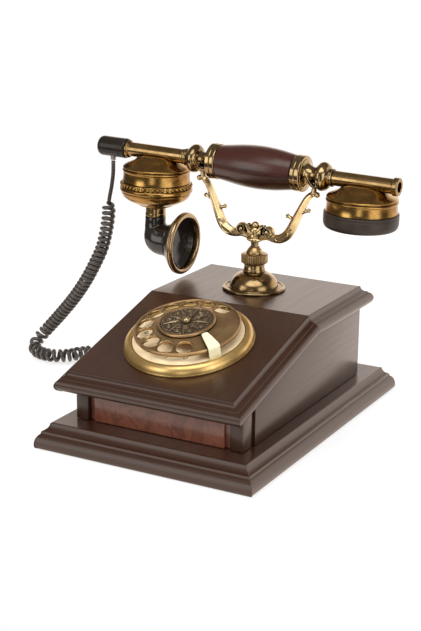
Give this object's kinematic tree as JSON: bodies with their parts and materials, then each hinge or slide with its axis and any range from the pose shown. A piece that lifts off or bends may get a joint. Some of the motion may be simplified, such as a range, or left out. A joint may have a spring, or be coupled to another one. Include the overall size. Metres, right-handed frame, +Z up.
{
  "type": "rotary desk telephone",
  "caption": "Desk telephone in antique style: moulded wooden case, sloping rotary dial, fork cradle and brass handset with a horn mouthpiece on a curly cord.",
  "frame": {"origin": "on the resting plane, at the middle of the felt under the plinth, which is the middle of the plinth", "axes": "+X along the front face to the viewer's right as the dial faces the viewer, +Y to the back, +Z up"},
  "size_m": [0.316, 0.243, 0.1924],
  "materials": {
    "case_wood": "dark espresso stain under satin lacquer",
    "burl_wood": "reddish figured veneer under gloss lacquer",
    "grip_wood": "dark red lacquered turned wood",
    "brass": "polished antique brass with dark recesses",
    "dark_brass": "dark relief with brass edges",
    "black_gloss": "glossy black",
    "black_satin": "satin black",
    "cord_black": "glossy black jacket",
    "number_plate": "warm cream with dark numbers",
    "ivory": "ivory, satin",
    "steel": "plain",
    "felt": "dark felt",
    "board": "circuit board",
    "copper": "copper windings"
  },
  "bodies": {
    "base": {"plinth": "case_wood", "base_felt": "felt", "case_screw_1": "steel", "case_screw_2": "steel", "case_screw_3": "steel", "case_screw_4": "steel", "front_post_left": "case_wood", "front_post_right": "case_wood", "front_panel": "burl_wood", "side_panel_left": "case_wood", "side_panel_right": "case_wood", "back_panel": "case_wood", "lid_slope": "case_wood", "lid_flat": "case_wood", "dial_bezel": "brass", "number_plate": "number_plate", "dial_case": "steel", "finger_stop": "ivory", "cradle_dome": "brass", "locking_nut": "brass", "plunger_guide": "steel", "plunger_spring": "steel", "circuit_board": "board", "hook_switch": "black_satin", "gong_left": "brass", "gong_right": "brass", "ringer_coil": "copper", "line_jack": "black_satin", "cord_socket": "black_satin", "handset_cord": "cord_black"},
    "handset": {"grip": "grip_wood", "knuckle_left": "brass", "knuckle_right": "brass", "tube_left": "brass", "tube_right": "brass", "end_cap": "black_gloss", "cord_gland": "brass", "transmitter_housing": "brass", "transmitter_capsule": "steel", "beaded_ring": "brass", "transmitter_bowl": "brass", "transmitter_collar": "brass", "elbow": "black_gloss", "mouthpiece_horn": "black_gloss", "mouthpiece_rim": "brass", "receiver_housing": "brass", "receiver_capsule": "steel", "ear_cap": "black_satin"},
    "cradle": {"cradle_fork": "brass", "plunger": "brass"},
    "switch_lever": {"switch_lever": "steel"},
    "dial": {"finger_wheel": "brass", "centre_disc": "dark_brass", "centre_nut": "brass", "dial_shaft": "steel"},
    "clapper": {"clapper": "steel"}
  },
  "joints": [
    {"name": "handset_lift", "type": "slide", "parent": "base", "child": "handset", "axis": [0, 0, 1], "range_m": [0, 0.1]},
    {"name": "cradle_rise", "type": "slide", "parent": "base", "child": "cradle", "axis": [0, 0, 1], "range_m": [0, 0.006], "stiffness_N_per_m": 100, "springref_m": 0.012, "deforming": ["plunger_spring"]},
    {"name": "switch_tilt", "type": "hinge", "parent": "base", "child": "switch_lever", "pos_m": [0.017, 0.045, 0.0444], "axis": [0, 1, 0], "range_deg": [0, 24.5]},
    {"name": "dial_turn", "type": "hinge", "parent": "base", "child": "dial", "pos_m": [0, -0.05385, 0.07153], "axis": [0, 0.2554, -0.9668], "range_deg": [0, 326], "stiffness_Nm_per_rad": 0.02, "springref_deg": -28.65},
    {"name": "clapper_swing", "type": "hinge", "parent": "base", "child": "clapper", "pos_m": [0, -0.0343, 0.0245], "axis": [0, 0, 1], "range_deg": [-4, 4]}
  ],
  "couplings": [
    {"joint": "cradle_rise", "follows": "handset_lift", "ratio": 0.06},
    {"joint": "switch_tilt", "follows": "handset_lift", "rad_per_m": 4.2}
  ]
}
